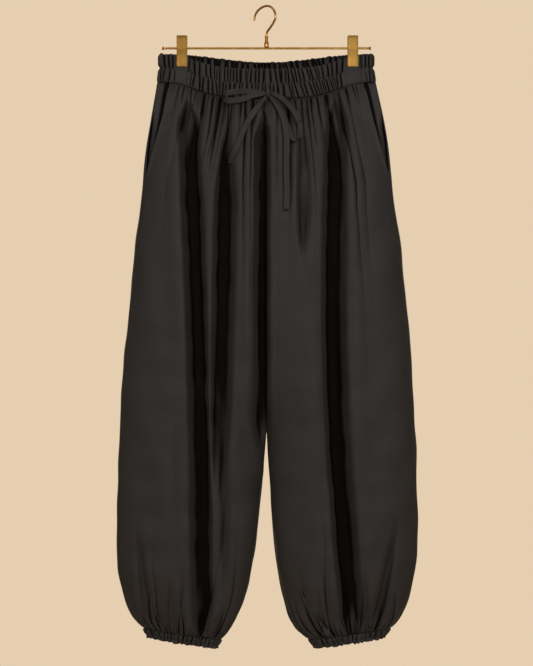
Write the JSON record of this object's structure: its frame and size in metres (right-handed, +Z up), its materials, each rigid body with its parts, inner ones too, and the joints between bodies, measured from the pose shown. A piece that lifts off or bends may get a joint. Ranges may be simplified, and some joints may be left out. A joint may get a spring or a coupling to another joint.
{
  "type": "joggers on a clip hanger",
  "caption": "Wide balloon-leg joggers with a gathered elastic waist, a tied drawstring, slanted pockets and gathered ankles, clipped to a slim wire hanger.",
  "frame": {"origin": "inside of the hanger hook's crown, where a rail carries it", "axes": "+Z up, -Y out of the garment's front, +X to the right as seen from the front"},
  "size_m": [0.5089, 0.1243, 1.0942],
  "materials": {
    "cloth": "soft matt woven cloth with a faint sheen",
    "brass": "satin"
  },
  "bodies": {
    "root": {"front_left": "cloth", "front_right": "cloth", "back_left": "cloth", "back_right": "cloth", "pocket_left": "cloth", "pocket_right": "cloth", "waistband_front": "cloth", "waistband_back": "cloth", "cuff_left": "cloth", "cuff_right": "cloth", "tie_knot": "cloth", "tie_loop_left": "cloth", "tie_loop_right": "cloth", "tie_tail_left": "cloth", "tie_tail_right": "cloth", "hanger_hook": "brass", "hanger_collar": "brass", "hanger_bar": "brass", "clip_left_front": "brass", "clip_left_back": "brass", "clip_left_spring": "brass", "clip_right_front": "brass", "clip_right_back": "brass", "clip_right_spring": "brass"}
  },
  "joints": []
}
